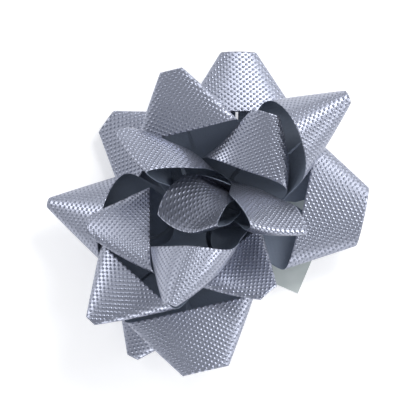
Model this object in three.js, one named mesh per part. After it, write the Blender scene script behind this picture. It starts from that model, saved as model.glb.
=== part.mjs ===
// Star-shaped gift bow: loops of embossed ribbon pinned in the middle to a backing card,
// with an adhesive foam pad and a peel-off release liner underneath.
// Millimetres, +Z up along the bow's axis. The origin is on that axis, at the liner's underside.

import * as THREE from 'three';

const { degToRad, lerp, smoothstep } = THREE.MathUtils;

// Ribbon
const RIBBON_WIDTH = 16;
const RIBBON_THICKNESS = 0.12;
const PASS_PITCH = 0.19;        // height from one ribbon pass to the next in the pinned stack
const HUB_CLEARANCE = 0.7;      // distance kept between each end of a strip and the loop's middle plane
const STRIP_STEPS_ALONG = 30;
const STRIP_STEPS_ACROSS = 3;
const STRIP_SPACING_BIAS = 2.4; // gathers the steps along a strip near the loop's tip
const UNDERSIDE_GROUP = 5;      // a box's sixth group of faces

// Base
const LINER_SIZE = [48, 24];
const LINER_CENTRE = [4.2, -1.8];
const LINER_TURN = -23;
const LINER_THICKNESS = 0.12;
const PAD_SIDE = 20;
const PAD_THICKNESS = 1;
const CARD_RADIUS = 12;
const CARD_THICKNESS = 0.5;
const BASE_HEIGHT = LINER_THICKNESS + PAD_THICKNESS + CARD_THICKNESS;

// Centre pin: a shank with a head on the ribbon stack and a flattened foot under the card
const PIN_RADIUS = 0.45;
const PIN_HEAD_RADIUS = 1.5;
const PIN_HEAD_THICKNESS = 0.35;
const PIN_FOOT_RADIUS = 1.4;
const PIN_FOOT_THICKNESS = 0.3;
const PIN_CLEARANCE = 0.3;

// Loops from the bottom of the stack to the top. Angles are in degrees, lengths in millimetres.
// azimuth: direction of the tip; lift: climb of the loop; reach: pin to the cone's apex;
// openness: angular height of the cone; tip: from the apex to the ribbon's outer edge;
// roll and turn: how far the outer part is twisted about its length and about its own normal.
const LOOPS = [
  { name: 'loop_01', azimuth: 140.5, lift: 2.5, reach: 35, openness: 14, tip: 5, roll: -6, turn: 4 },
  { name: 'loop_02', azimuth: 241, lift: 2.5, reach: 44, openness: 20, tip: 2, roll: -4, turn: 3 },
  { name: 'loop_03', azimuth: 76.5, lift: 8, reach: 40, openness: 17, tip: 7, roll: 14, turn: 13 },
  { name: 'loop_04', azimuth: 191, lift: 11, reach: 43.5, openness: 33, tip: 2, roll: 6, turn: -27 },
  { name: 'loop_05', azimuth: 358.5, lift: 5, reach: 38.5, openness: 16, tip: 12.5, roll: 3, turn: -11 },
  { name: 'loop_06', azimuth: 254.5, lift: 18, reach: 47.5, openness: 17, tip: 8.5, roll: 3, turn: 28 },
  { name: 'loop_07', azimuth: 32.5, lift: 29, reach: 46.5, openness: 39, tip: 3, roll: -25, turn: 8 },
  { name: 'loop_08', azimuth: 229, lift: 23.5, reach: 47, openness: 23, tip: 2, roll: 11, turn: -7 },
  { name: 'loop_09', azimuth: 109, lift: 30.5, reach: 38, openness: 16, tip: 4, roll: -7, turn: -2 },
  { name: 'loop_10', azimuth: 204, lift: 34.5, reach: 38, openness: 19, tip: 3.5, roll: 13, turn: -30 },
  { name: 'loop_11', azimuth: 292, lift: 39, reach: 34.5, openness: 16, tip: 4, roll: -4, turn: 25 },
  { name: 'loop_12', azimuth: 54.5, lift: 40, reach: 31, openness: 23, tip: 6, roll: 2, turn: 19 },
  { name: 'loop_13', azimuth: 136.5, lift: 42, reach: 34.5, openness: 60, tip: 3, roll: -42, turn: 27 },
  { name: 'loop_14', azimuth: 262, lift: 57.5, reach: 48.5, openness: 40, tip: 2, roll: 22, turn: -17 },
  { name: 'loop_15', azimuth: 349.5, lift: 48.5, reach: 33, openness: 55, tip: 8, roll: 43, turn: -18 },
  { name: 'centre_loop', azimuth: 334.5, lift: 80.5, reach: 23.5, openness: 50, tip: 12, roll: 54, turn: -9 },
];

const STANDING_LIFT = 70;       // a loop that climbs more than this stands on the stack, outside the fan
const RAMP_LENGTH = 12;         // distance over which a loop bends up to its lift
const STANDING_RAMP = 7;        // the same for a standing loop, which bends up more sharply
const GUTTER = degToRad(60);    // slope of a standing loop's sides, which curl up from the stack
const HUB_FLAT = 2;             // flat radius of the pinned stack
const TWIST_START = 9;          // distance from the pin where a loop's roll and turn begin
const TWIST_END = 24;           // and where they are complete
const TWIST_PIVOT = 26;         // point on the loop's length that the roll and turn go round

const COLOURS = {
  ribbon: { color: 0x9aa3b8, roughness: 0.32, metalness: 0.85 },
  card: { color: 0xe9e7e0, roughness: 0.9, metalness: 0 },
  foam: { color: 0xf1f1ee, roughness: 0.95, metalness: 0 },
  liner: { color: 0xd3dbd6, roughness: 0.55, metalness: 0 },
  pin: { color: 0x2c3036, roughness: 0.4, metalness: 0.6 },
};

const UP = new THREE.Vector3(0, 0, 1);
const OUTWARD = new THREE.Vector3(1, 0, 0);

function material(kind) {
  return new THREE.MeshStandardMaterial({ name: kind, side: THREE.FrontSide, ...COLOURS[kind] });
}

function named(name, geometry, kind) {
  const mesh = new THREE.Mesh(geometry, material(kind));
  mesh.name = name;
  return mesh;
}

// Half of the cone's closed cross-section on a unit sphere, from the top of the loop to its underside,
// as a list of { length, side, rise }: arc length so far and the two angles.
function halfSection(halfWidth, height, steps = 160) {
  const points = [];
  let length = 0;
  for (let i = 0; i <= steps; i += 1) {
    const angle = Math.PI * (1 - i / steps);
    const side = halfWidth * Math.sin(angle);
    const rise = height * ((1 - Math.cos(angle)) / 2) ** 1.4;
    if (i > 0) {
      const last = points[i - 1];
      length += Math.hypot((side - last.side) * Math.cos(rise), rise - last.rise);
    }
    points.push({ length, side, rise });
  }
  return points;
}

// The half section whose length is the wrap angle: the half width is found by halving an interval.
function fittedSection(wrap, height) {
  let low = wrap / 8;
  let high = wrap;
  for (let i = 0; i < 40; i += 1) {
    const middle = (low + high) / 2;
    const section = halfSection(middle, height);
    if (section.at(-1).length > wrap) high = middle;
    else low = middle;
  }
  return halfSection((low + high) / 2, height);
}

function sectionAt(section, angle) {
  const total = section.at(-1).length;
  if (angle >= total) return { side: total - angle, rise: 0 };
  let upper = 1;
  while (section[upper].length < angle) upper += 1;
  const a = section[upper - 1];
  const b = section[upper];
  const t = (angle - a.length) / (b.length - a.length);
  return { side: a.side + t * (b.side - a.side), rise: a.rise + t * (b.rise - a.rise) };
}

// Climb of a loop along its length: radius and height reached after the distance r, and the slope there.
function climb(r, lift, ramp) {
  const steps = 24;
  let radius = 0;
  let height = 0;
  for (let i = 0; i < steps; i += 1) {
    const slope = lift * smoothstep(r * (i + 0.5) / steps, HUB_FLAT, HUB_FLAT + ramp);
    radius += Math.cos(slope) * r / steps;
    height += Math.sin(slope) * r / steps;
  }
  return { radius, height, slope: lift * smoothstep(r, HUB_FLAT, HUB_FLAT + ramp) };
}

function shapeOf(loop, index) {
  const middle = loop.tip + RIBBON_WIDTH / 2;
  const apex = loop.reach + loop.tip;
  const wrap = Math.acos(middle / apex);
  return {
    ...loop,
    middle,
    apex,
    wrap,
    end: middle * Math.tan(wrap - HUB_CLEARANCE / apex),
    section: fittedSection(wrap, degToRad(loop.openness)),
    level: BASE_HEIGHT + (2 * index + 1) * PASS_PITCH,
  };
}

// A point of the ribbon, from its place on the flat strip to its place on the finished loop.
function ribbonPoint(shape, across, along) {
  const distance = Math.hypot(across, along);
  const angle = Math.atan2(along, across);
  const { side, rise } = sectionAt(shape.section, Math.abs(angle));
  const sign = Math.sign(angle) || 1;
  const p = new THREE.Vector3(
    shape.apex - distance * Math.cos(rise) * Math.cos(side),
    -distance * Math.cos(rise) * Math.sin(side) * sign,
    distance * Math.sin(rise) + PASS_PITCH / 2 * angle / shape.wrap,
  );
  const twist = smoothstep(Math.hypot(p.x, p.y), TWIST_START, TWIST_END);
  p.x -= TWIST_PIVOT;
  p.applyAxisAngle(UP, degToRad(shape.turn) * twist);
  p.applyAxisAngle(OUTWARD, degToRad(shape.roll) * twist);
  p.x += TWIST_PIVOT;

  const standing = shape.lift > STANDING_LIFT;
  const r = standing ? p.x : Math.hypot(p.x, p.y);
  const ramp = standing ? STANDING_RAMP : RAMP_LENGTH;
  const { radius, height, slope } = climb(r, degToRad(shape.lift), ramp);
  const bearing = standing ? 0 : Math.atan2(p.y, p.x) * (r > 0 ? r / radius : 1);
  const out = radius - p.z * Math.sin(slope);
  const curl = standing ? climb(Math.abs(p.y), GUTTER, RAMP_LENGTH).height : 0;
  const point = new THREE.Vector3(
    out * Math.cos(bearing),
    out * Math.sin(bearing) + (standing ? p.y : 0),
    shape.level + height + p.z * Math.cos(slope) + curl,
  );
  return point.applyAxisAngle(UP, degToRad(shape.azimuth));
}

function ribbonNormal(shape, across, along) {
  const step = 0.02;
  const a = ribbonPoint(shape, across + step, along).sub(ribbonPoint(shape, across - step, along));
  const b = ribbonPoint(shape, across, along + step).sub(ribbonPoint(shape, across, along - step));
  return a.cross(b).normalize();
}

// Place on the flat strip of a mesh point, from its distance off the strip's middle line and its row,
// which runs from -1 to 1. Rows fan out along the cone's straight lines near the tip, and the ends are
// cut along the loop's middle plane on one side of the pin and square across on the other.
function stripPlace(shape, offset, row) {
  const across = shape.middle + offset;
  const straight = shape.end * Math.sinh(STRIP_SPACING_BIAS * row) / Math.sinh(STRIP_SPACING_BIAS);
  const spread = across / shape.middle;
  const square = spread > 1 ? smoothstep(Math.abs(row), 0.6, 1) : 0;
  return { across, along: straight * lerp(spread, 1, square) };
}

// Splits the squares of a box's underside along the same diagonals as its top's, so that a thin box keeps
// its thickness when it's bent and twisted.
function matchDiagonals(geometry) {
  const index = geometry.index.array;
  const { start, count } = geometry.groups[UNDERSIDE_GROUP];
  for (let i = start; i < start + count; i += 6) {
    const [a, b, d, , c] = index.subarray(i, i + 6);
    index.set([a, b, c, a, c, d], i);
  }
}

function loopGeometry(loop, index) {
  const shape = shapeOf(loop, index);
  const geometry = new THREE.BoxGeometry(
    RIBBON_WIDTH, 2, RIBBON_THICKNESS, STRIP_STEPS_ACROSS, STRIP_STEPS_ALONG, 1);
  const position = geometry.getAttribute('position');
  for (let i = 0; i < position.count; i += 1) {
    const { across, along } = stripPlace(shape, position.getX(i), position.getY(i));
    const point = ribbonPoint(shape, across, along);
    point.addScaledVector(ribbonNormal(shape, across, along), position.getZ(i));
    position.setXYZ(i, point.x, point.y, point.z);
  }
  matchDiagonals(geometry);
  return geometry;
}

function releaseLiner() {
  const geometry = new THREE.BoxGeometry(...LINER_SIZE, LINER_THICKNESS);
  const mesh = named('release_liner', geometry, 'liner');
  mesh.position.set(...LINER_CENTRE, LINER_THICKNESS / 2);
  mesh.rotation.z = degToRad(LINER_TURN);
  return mesh;
}

// A flat sheet cut to an outline, with a round hole in the middle for the pin.
function punched(outline, holeRadius, depth) {
  const hole = new THREE.Path();
  hole.absarc(0, 0, holeRadius, 0, 2 * Math.PI, true);
  outline.holes.push(hole);
  return new THREE.ExtrudeGeometry(outline, { depth, bevelEnabled: false, curveSegments: 24 });
}

function foamPad() {
  const half = PAD_SIDE / 2;
  const outline = new THREE.Shape();
  outline.moveTo(-half, -half);
  outline.lineTo(half, -half);
  outline.lineTo(half, half);
  outline.lineTo(-half, half);
  outline.closePath();
  const sheet = punched(outline, PIN_FOOT_RADIUS + PIN_CLEARANCE, PAD_THICKNESS);
  const mesh = named('foam_pad', sheet, 'foam');
  mesh.position.z = LINER_THICKNESS;
  mesh.rotation.z = degToRad(LINER_TURN);
  return mesh;
}

function backingCard() {
  const outline = new THREE.Shape();
  outline.absarc(0, 0, CARD_RADIUS, 0, 2 * Math.PI, false);
  const sheet = punched(outline, PIN_RADIUS + PIN_CLEARANCE, CARD_THICKNESS);
  const mesh = named('backing_card', sheet, 'card');
  mesh.position.z = LINER_THICKNESS + PAD_THICKNESS;
  return mesh;
}

function centrePin() {
  const footTop = BASE_HEIGHT - CARD_THICKNESS - 0.05;
  const headBottom = BASE_HEIGHT + 2 * LOOPS.length * PASS_PITCH + 0.05;
  const profile = [
    [0, footTop - PIN_FOOT_THICKNESS],
    [PIN_FOOT_RADIUS, footTop - PIN_FOOT_THICKNESS],
    [PIN_FOOT_RADIUS, footTop],
    [PIN_RADIUS, footTop],
    [PIN_RADIUS, headBottom],
    [PIN_HEAD_RADIUS, headBottom],
    [PIN_HEAD_RADIUS * 0.8, headBottom + PIN_HEAD_THICKNESS],
    [0, headBottom + PIN_HEAD_THICKNESS],
  ];
  const geometry = new THREE.LatheGeometry(profile.map(([x, y]) => new THREE.Vector2(x, y)), 20);
  geometry.rotateX(Math.PI / 2);
  return named('centre_pin', geometry, 'pin');
}

const bow = new THREE.Group();
bow.add(releaseLiner(), foamPad(), backingCard(), centrePin());
LOOPS.forEach((loop, index) => bow.add(named(loop.name, loopGeometry(loop, index), 'ribbon')));

export default bow;
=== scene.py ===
import math

import bpy
import numpy as np
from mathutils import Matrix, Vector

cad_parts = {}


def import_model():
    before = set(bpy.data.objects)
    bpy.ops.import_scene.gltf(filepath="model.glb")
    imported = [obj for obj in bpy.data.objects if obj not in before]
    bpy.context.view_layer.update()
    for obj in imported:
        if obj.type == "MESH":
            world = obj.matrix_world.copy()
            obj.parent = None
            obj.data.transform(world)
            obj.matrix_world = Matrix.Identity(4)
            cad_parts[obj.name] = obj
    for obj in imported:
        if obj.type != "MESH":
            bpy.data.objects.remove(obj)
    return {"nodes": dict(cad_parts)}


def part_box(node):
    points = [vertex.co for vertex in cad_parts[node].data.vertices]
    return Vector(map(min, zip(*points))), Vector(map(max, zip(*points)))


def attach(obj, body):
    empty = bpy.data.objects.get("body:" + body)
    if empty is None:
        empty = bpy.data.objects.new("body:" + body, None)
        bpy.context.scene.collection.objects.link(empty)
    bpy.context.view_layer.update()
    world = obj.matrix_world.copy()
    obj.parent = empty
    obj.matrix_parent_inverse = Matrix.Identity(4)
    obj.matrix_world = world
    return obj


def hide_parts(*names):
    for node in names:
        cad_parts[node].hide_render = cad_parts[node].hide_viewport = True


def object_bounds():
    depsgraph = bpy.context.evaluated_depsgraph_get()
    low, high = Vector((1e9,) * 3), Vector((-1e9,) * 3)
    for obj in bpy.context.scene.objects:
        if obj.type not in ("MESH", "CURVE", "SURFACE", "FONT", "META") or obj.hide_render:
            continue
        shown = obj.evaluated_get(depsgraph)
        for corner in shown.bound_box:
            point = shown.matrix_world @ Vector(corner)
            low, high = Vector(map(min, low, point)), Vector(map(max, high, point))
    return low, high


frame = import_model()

CAD_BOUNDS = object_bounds()
MM = 0.001

# Ribbon, in millimetres
RIBBON_WIDTH = 16.0
RIBBON_THICKNESS = 0.12
PASS_PITCH = 0.19
HUB_CLEARANCE = 0.7       # between each end of a strip and the loop's middle plane
ROWS_ALONG = 220
ROWS_ACROSS = 40
ROW_SPACING_BIAS = 2.4     # gathers the rows near the loop's tip
SQUARING_START = 0.6       # row, from 0 at the tip to 1 at the ends, where rows start to straighten
SLOPE_STEP = 0.02          # distance over which the surface's slopes are measured
DIMPLE_SPACING = 1.3       # between neighbours in a row across the ribbon
DIMPLE_ROWS = 0.85         # between one row and the next, which is shifted by half a spacing

# How a loop leaves the pinned stack, in millimetres and degrees
STANDING_LIFT = 70.0
RAMP_LENGTH = 12.0
STANDING_RAMP = 7.0
GUTTER = math.radians(60)
HUB_FLAT = 2.0
TWIST_START = 9.0
TWIST_END = 24.0
TWIST_PIVOT = 26.0

# Loops from the bottom of the stack to the top. Angles are in degrees, lengths in millimetres.
# These numbers weren't chosen by hand: they are the output of a search program.
LOOP_FIELDS = ("name", "azimuth", "lift", "reach", "openness", "tip", "roll", "turn")
LOOPS = [dict(zip(LOOP_FIELDS, row)) for row in (
    ("loop_01", 140.5, 2.5, 35, 14, 5, -6, 4),
    ("loop_02", 241, 2.5, 44, 20, 2, -4, 3),
    ("loop_03", 76.5, 8, 40, 17, 7, 14, 13),
    ("loop_04", 191, 11, 43.5, 33, 2, 6, -27),
    ("loop_05", 358.5, 5, 38.5, 16, 12.5, 3, -11),
    ("loop_06", 254.5, 18, 47.5, 17, 8.5, 3, 28),
    ("loop_07", 32.5, 29, 46.5, 39, 3, -25, 8),
    ("loop_08", 229, 23.5, 47, 23, 2, 11, -7),
    ("loop_09", 109, 30.5, 38, 16, 4, -7, -2),
    ("loop_10", 204, 34.5, 38, 19, 3.5, 13, -30),
    ("loop_11", 292, 39, 34.5, 16, 4, -4, 25),
    ("loop_12", 54.5, 40, 31, 23, 6, 2, 19),
    ("loop_13", 136.5, 42, 34.5, 60, 3, -42, 27),
    ("loop_14", 262, 57.5, 48.5, 40, 2, 22, -17),
    ("loop_15", 349.5, 48.5, 33, 55, 8, 43, -18),
    ("centre_loop", 334.5, 80.5, 23.5, 50, 12, 54, -9),
)]

# Camera
CAMERA_ELEVATION = math.radians(82)
CAMERA_DISTANCE = 0.79
FRAME_WIDTH = 0.104         # width of the view at the bow
SENSOR_WIDTH = 36.0

# Studio light: colours of the surrounding tent at heights from the horizon, 0, to overhead, 1
TENT = (
    (0.0, (0.46, 0.47, 0.5)),
    (0.45, (0.66, 0.67, 0.7)),
    (0.75, (0.56, 0.57, 0.6)),
    (0.97, (0.3, 0.31, 0.34)),
)
FLOOR_HALF_WIDTH = 4.0
FLOOR_GAP = 0.00002          # the floor lies this far under the liner
FLOOR_GLOW = 0.35            # strength of the white floor's own light, which keeps shadows faint
LAMPS = (
    # name, position, size, power
    ("key", (0.3, 0.42, 0.5), (0.25, 0.25), 2.0),
    ("right", (0.6, 0.1, 0.3), (0.2, 0.35), 1.4),
    ("left", (-0.5, 0.3, 0.4), (0.2, 0.3), 0.8),
    ("front", (0.1, -0.6, 0.3), (0.4, 0.2), 1.0),
)


# ---------------------------------------------------------------- ribbon shape

def smoothstep(x, low, high):
    t = np.clip((x - low) / (high - low), 0, 1)
    return t * t * (3 - 2 * t)


def half_section(half_width, height, steps=160):
    """Arc length, side and rise of half of the cone's cross-section, on a unit sphere."""
    angle = math.pi * (1 - np.arange(steps + 1) / steps)
    side = half_width * np.sin(angle)
    rise = height * ((1 - np.cos(angle)) / 2) ** 1.4
    steps_length = np.hypot(np.diff(side) * np.cos(rise[1:]), np.diff(rise))
    return np.concatenate([[0], np.cumsum(steps_length)]), side, rise


def fitted_section(wrap, height):
    """The half section as long as the wrap angle: its half width is found by halving an interval."""
    low, high = wrap / 8, wrap
    for _ in range(40):
        middle = (low + high) / 2
        if half_section(middle, height)[0][-1] > wrap:
            high = middle
        else:
            low = middle
    return half_section((low + high) / 2, height)


def climb(r, lift, ramp):
    """Radius and height reached after the distance r along a loop, and the slope there."""
    steps = 24
    middles = r[:, None] * (np.arange(steps) + 0.5) / steps
    slopes = lift * smoothstep(middles, HUB_FLAT, HUB_FLAT + ramp)
    radius = np.cos(slopes).sum(axis=1) * r / steps
    height = np.sin(slopes).sum(axis=1) * r / steps
    return radius, height, lift * smoothstep(r, HUB_FLAT, HUB_FLAT + ramp)


def turned(a, b, angle):
    """Two coordinates after a turn in their plane."""
    return a * np.cos(angle) - b * np.sin(angle), a * np.sin(angle) + b * np.cos(angle)


class Ribbon:
    """One loop's strip of ribbon: its size when flat, and where each of its points goes."""

    def __init__(self, loop, index):
        self.loop = loop
        self.middle = loop["tip"] + RIBBON_WIDTH / 2
        self.apex = loop["reach"] + loop["tip"]
        self.wrap = math.acos(self.middle / self.apex)
        self.end = self.middle * math.tan(self.wrap - HUB_CLEARANCE / self.apex)
        self.section = fitted_section(self.wrap, math.radians(loop["openness"]))
        self.level = BASE_TOP + (2 * index + 1) * PASS_PITCH

    def points(self, across, along):
        """Places on the loop, in millimetres, of points given by their places on the flat strip."""
        loop = self.loop
        distance = np.hypot(across, along)
        angle = np.arctan2(along, across)
        length, sides, rises = self.section
        turn_angle = np.abs(angle)
        side = np.interp(turn_angle, length, sides) - np.maximum(turn_angle - length[-1], 0)
        rise = np.interp(turn_angle, length, rises)
        x = self.apex - distance * np.cos(rise) * np.cos(side)
        y = -distance * np.cos(rise) * np.sin(side) * np.where(angle < 0, -1, 1)
        z = distance * np.sin(rise) + PASS_PITCH / 2 * angle / self.wrap

        twist = smoothstep(np.hypot(x, y), TWIST_START, TWIST_END)
        x = x - TWIST_PIVOT
        x, y = turned(x, y, math.radians(loop["turn"]) * twist)
        y, z = turned(y, z, math.radians(loop["roll"]) * twist)
        x = x + TWIST_PIVOT

        lift = math.radians(loop["lift"])
        if loop["lift"] > STANDING_LIFT:
            radius, height, slope = climb(x, lift, STANDING_RAMP)
            out_x = radius - z * np.sin(slope)
            out_y = y
            curl = climb(np.abs(y), GUTTER, RAMP_LENGTH)[1]
            out_z = self.level + height + z * np.cos(slope) + curl
        else:
            r = np.hypot(x, y)
            radius, height, slope = climb(r, lift, RAMP_LENGTH)
            bearing = np.arctan2(y, x) * r / np.maximum(radius, 1e-6)
            out = radius - z * np.sin(slope)
            out_x = out * np.cos(bearing)
            out_y = out * np.sin(bearing)
            out_z = self.level + height + z * np.cos(slope)
        out_x, out_y = turned(out_x, out_y, math.radians(loop["azimuth"]))
        return np.stack([out_x, out_y, out_z], axis=-1)

    def normals(self, across, along):
        a = self.points(across + SLOPE_STEP, along) - self.points(across - SLOPE_STEP, along)
        b = self.points(across, along + SLOPE_STEP) - self.points(across, along - SLOPE_STEP)
        n = np.cross(a, b)
        return n / np.linalg.norm(n, axis=-1, keepdims=True)

    def grid(self):
        """Flat places of the mesh's points, row by row along the strip.

        Rows fan out along the cone's straight lines. On one side of the strip's middle line they
        straighten towards the ends, which are cut square there and along the loop's middle plane on
        the other side."""
        row = np.linspace(-1, 1, ROWS_ALONG + 1)[:, None]
        straight = self.end * np.sinh(ROW_SPACING_BIAS * row) / math.sinh(ROW_SPACING_BIAS)
        across = self.middle + np.linspace(-0.5, 0.5, ROWS_ACROSS + 1) * RIBBON_WIDTH
        spread = across / self.middle
        square = np.where(spread > 1, smoothstep(np.abs(row), SQUARING_START, 1), 0)
        along = straight * (spread * (1 - square) + square)
        return np.broadcast_to(across, along.shape).ravel(), along.ravel()


BASE_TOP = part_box("backing_card")[1][2] / MM


def grid_faces(rows, columns, first, flip):
    """Quads of a grid of rows x columns cells whose points start at the index first."""
    r, c = np.meshgrid(np.arange(rows), np.arange(columns), indexing="ij")
    a = first + r * (columns + 1) + c
    quads = np.stack([a, a + 1, a + columns + 2, a + columns + 1], axis=-1).reshape(-1, 4)
    return quads[:, ::-1] if flip else quads


def rim_faces(rows, columns, back):
    """Quads between the front grid's border and the back grid's, which starts at the index back."""
    width = columns + 1
    bottom = np.arange(columns)
    right = np.arange(rows) * width + columns
    top = rows * width + np.arange(columns, 0, -1)
    left = np.arange(rows, 0, -1) * width
    start = np.concatenate([bottom, right, top, left])
    stop = np.roll(start, -1)
    return np.stack([stop, start, start + back, stop + back], axis=-1)


def loop_piece(loop, index, front, film_back):
    ribbon = Ribbon(loop, index)
    across, along = ribbon.grid()
    points = ribbon.points(across, along)
    normals = ribbon.normals(across, along)
    half = RIBBON_THICKNESS / 2
    count = len(points)
    vertices = np.concatenate([points + normals * half, points - normals * half]) * MM
    faces = np.concatenate([
        grid_faces(ROWS_ALONG, ROWS_ACROSS, 0, False),
        grid_faces(ROWS_ALONG, ROWS_ACROSS, count, True),
        rim_faces(ROWS_ALONG, ROWS_ACROSS, count),
    ])
    mesh = bpy.data.meshes.new(loop["name"] + "_ribbon")
    mesh.from_pydata(vertices.tolist(), [], faces.tolist())
    mesh.materials.append(front)
    mesh.materials.append(film_back)
    slots = np.ones(len(faces), np.int32)
    slots[:ROWS_ALONG * ROWS_ACROSS] = 0
    mesh.polygons.foreach_set("material_index", slots)
    mesh.polygons.foreach_set("use_smooth", np.arange(len(faces)) < 2 * ROWS_ALONG * ROWS_ACROSS)

    flat = np.concatenate([np.stack([across, along], axis=-1)] * 2)
    corners = np.zeros(len(mesh.loops), np.int32)
    mesh.loops.foreach_get("vertex_index", corners)
    uv = mesh.uv_layers.new(name="strip")
    uv.data.foreach_set("uv", flat[corners].ravel())

    piece = bpy.data.objects.new(loop["name"] + "_ribbon", mesh)
    bpy.context.scene.collection.objects.link(piece)
    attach(piece, "bow")
    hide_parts(loop["name"])


# ------------------------------------------------------------------- materials

def new_material(name, colour, roughness, metallic=0.0):
    material = bpy.data.materials.new(name)
    material.use_nodes = True
    shader = material.node_tree.nodes["Principled BSDF"]
    shader.inputs["Base Color"].default_value = (*colour, 1)
    shader.inputs["Roughness"].default_value = roughness
    shader.inputs["Metallic"].default_value = metallic
    return material, material.node_tree, shader


def math_node(tree, operation, a, b=None):
    node = tree.nodes.new("ShaderNodeMath")
    node.operation = operation
    for socket, value in zip(node.inputs, (a, b)):
        if value is None:
            continue
        if isinstance(value, (int, float)):
            socket.default_value = value
        else:
            tree.links.new(value, socket)
    return node.outputs[0]


def noise(tree, scale, detail=2.0):
    node = tree.nodes.new("ShaderNodeTexNoise")
    node.inputs["Scale"].default_value = scale
    node.inputs["Detail"].default_value = detail
    node.inputs["Roughness"].default_value = 0.5
    tree.links.new(tree.nodes.new("ShaderNodeTexCoord").outputs["Object"], node.inputs["Vector"])
    return node.outputs["Fac"]


def ramp(tree, fac, stops):
    node = tree.nodes.new("ShaderNodeValToRGB")
    elements = node.color_ramp.elements
    while len(elements) < len(stops):
        elements.new(0.5)
    for element, (position, colour) in zip(elements, stops):
        element.position = position
        element.color = (*colour, 1)
    tree.links.new(fac, node.inputs["Fac"])
    return node.outputs["Color"]


def bump(tree, shader, height, distance, strength):
    node = tree.nodes.new("ShaderNodeBump")
    node.inputs["Distance"].default_value = distance
    node.inputs["Strength"].default_value = strength
    tree.links.new(height, node.inputs["Height"])
    tree.links.new(node.outputs["Normal"], shader.inputs["Normal"])


def dimples(tree):
    """Staggered lattice of dimples over the strip, from 0 between them to 1 at their middles."""
    uv = tree.nodes.new("ShaderNodeUVMap")
    uv.uv_map = "strip"
    split = tree.nodes.new("ShaderNodeSeparateXYZ")
    tree.links.new(uv.outputs["UV"], split.inputs["Vector"])
    waves = []
    for axis, period in (("X", DIMPLE_SPACING), ("Y", 2 * DIMPLE_ROWS)):
        phase = math_node(tree, "MULTIPLY", split.outputs[axis], 2 * math.pi / period)
        waves.append(math_node(tree, "COSINE", phase))
    product = math_node(tree, "MULTIPLY", waves[0], waves[1])
    return math_node(tree, "MAXIMUM", product, 0.0)


def ribbon_front():
    material, tree, shader = new_material("ribbon_front", (0.38, 0.4, 0.48), 0.32, 0.88)
    dots = dimples(tree)
    # The base colour darkens towards each dimple's middle: this is painted shade standing in for the
    # dark dots that light makes on the dimples.
    shades = ((0.0, (0.38, 0.4, 0.48)), (1.0, (0.22, 0.24, 0.3)))
    tree.links.new(ramp(tree, dots, shades), shader.inputs["Base Color"])
    bump(tree, shader, dots, 0.12 * MM, 1.0)
    return material


def ribbon_back():
    material, tree, shader = new_material("ribbon_back", (0.21, 0.25, 0.32), 0.55)
    dots = dimples(tree)
    bump(tree, shader, dots, -0.05 * MM, 0.3)
    return material


def pin_steel():
    material, tree, shader = new_material("pin_steel", (0.08, 0.09, 0.1), 0.4, 0.8)
    shades = ((0.3, (0.05, 0.055, 0.06)), (0.7, (0.13, 0.14, 0.15)))
    tree.links.new(ramp(tree, noise(tree, 900), shades), shader.inputs["Base Color"])
    return material


def card_board():
    material, tree, shader = new_material("card_board", (0.82, 0.8, 0.75), 0.9)
    shades = ((0.3, (0.74, 0.72, 0.66)), (0.7, (0.86, 0.85, 0.8)))
    tree.links.new(ramp(tree, noise(tree, 1500, 6), shades), shader.inputs["Base Color"])
    bump(tree, shader, noise(tree, 2500, 4), 0.05 * MM, 0.5)
    return material


def foam_cells():
    material, tree, shader = new_material("foam_cells", (0.9, 0.9, 0.88), 0.95)
    cells = tree.nodes.new("ShaderNodeTexVoronoi")
    cells.inputs["Scale"].default_value = 2600
    tree.links.new(tree.nodes.new("ShaderNodeTexCoord").outputs["Object"], cells.inputs["Vector"])
    shades = ((0.0, (0.8, 0.8, 0.78)), (0.6, (0.93, 0.93, 0.91)))
    tree.links.new(ramp(tree, cells.outputs["Distance"], shades), shader.inputs["Base Color"])
    bump(tree, shader, cells.outputs["Distance"], 0.15 * MM, 0.6)
    return material


def liner_paper():
    material, tree, shader = new_material("liner_paper", (0.62, 0.68, 0.66), 0.45)
    shades = ((0.3, (0.56, 0.62, 0.6)), (0.7, (0.66, 0.71, 0.69)))
    tree.links.new(ramp(tree, noise(tree, 160, 5), shades), shader.inputs["Base Color"])
    bump(tree, shader, noise(tree, 300, 4), 0.06 * MM, 0.4)
    return material


def foam_pad(material):
    """The adhesive foam pad, with soft edges, in place of the plain CAD one."""
    plain = frame["nodes"]["foam_pad"]
    piece = plain.copy()
    piece.data = plain.data.copy()
    piece.name = "foam_pad_soft"
    piece.data.name = "foam_pad_soft"
    piece.data.materials.clear()
    piece.data.materials.append(material)
    bpy.context.scene.collection.objects.link(piece)
    bevel = piece.modifiers.new("soft_edges", "BEVEL")
    bevel.width = 0.15 * MM
    bevel.segments = 3
    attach(piece, "bow")
    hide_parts("foam_pad")


def set_material(node_name, material):
    node = frame["nodes"][node_name]
    for slot in node.material_slots:
        slot.link = "OBJECT"
        slot.material = material


# ----------------------------------------------------------------- the setting

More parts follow.
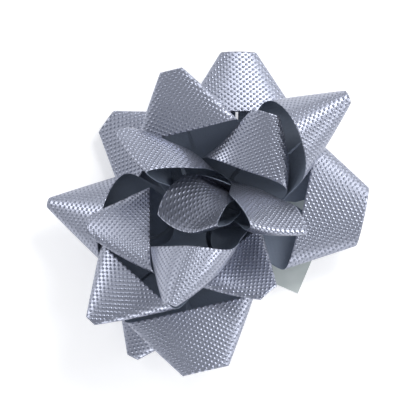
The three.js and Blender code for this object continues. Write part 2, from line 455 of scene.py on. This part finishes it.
def floor():
    half = FLOOR_HALF_WIDTH
    level = CAD_BOUNDS[0].z - FLOOR_GAP
    corners = [(-half, -half, level), (half, -half, level), (half, half, level), (-half, half, level)]
    mesh = bpy.data.meshes.new("floor")
    mesh.from_pydata(corners, [], [(0, 1, 2, 3)])
    piece = bpy.data.objects.new("floor", mesh)
    bpy.context.scene.collection.objects.link(piece)
    material, _, shader = new_material("floor_white", (0.9, 0.9, 0.9), 0.9)
    shader.inputs["Emission Color"].default_value = (1, 1, 1, 1)
    shader.inputs["Emission Strength"].default_value = FLOOR_GLOW
    mesh.materials.append(material)


def lamp(name, position, size, power):
    data = bpy.data.lights.new(name, "AREA")
    data.shape = "RECTANGLE"
    data.size, data.size_y = size
    data.energy = power
    lamp_object = bpy.data.objects.new(name, data)
    bpy.context.scene.collection.objects.link(lamp_object)
    lamp_object.location = position
    inward = -lamp_object.location
    lamp_object.rotation_euler = inward.to_track_quat("-Z", "Y").to_euler()


def world():
    """A light tent all round, dimmer at the top where it opens for the camera."""
    scene_world = bpy.data.worlds.new("studio")
    scene_world.use_nodes = True
    tree = scene_world.node_tree
    split = tree.nodes.new("ShaderNodeSeparateXYZ")
    tree.links.new(tree.nodes.new("ShaderNodeTexCoord").outputs["Generated"], split.inputs["Vector"])
    tree.links.new(ramp(tree, split.outputs["Z"], TENT), tree.nodes["Background"].inputs["Color"])
    bpy.context.scene.world = scene_world


def camera():
    low, high = CAD_BOUNDS
    target = (low + high) / 2
    data = bpy.data.cameras.new("camera")
    data.sensor_width = SENSOR_WIDTH
    data.lens = SENSOR_WIDTH * CAMERA_DISTANCE / FRAME_WIDTH
    data.clip_start, data.clip_end = 0.05, 10
    camera_object = bpy.data.objects.new("camera", data)
    bpy.context.scene.collection.objects.link(camera_object)
    back = CAMERA_DISTANCE * math.cos(CAMERA_ELEVATION)
    up = CAMERA_DISTANCE * math.sin(CAMERA_ELEVATION)
    camera_object.location = (target.x, target.y - back, target.z + up)
    camera_object.rotation_euler = (math.pi / 2 - CAMERA_ELEVATION, 0, 0)
    bpy.context.scene.camera = camera_object


front_film = ribbon_front()
back_film = ribbon_back()
for number, one_loop in enumerate(LOOPS):
    loop_piece(one_loop, number, front_film, back_film)
set_material("centre_pin", pin_steel())
set_material("backing_card", card_board())
foam_pad(foam_cells())
set_material("release_liner", liner_paper())
floor()
world()
for one_lamp in LAMPS:
    lamp(*one_lamp)
camera()
bpy.context.scene.view_settings.view_transform = "Standard"
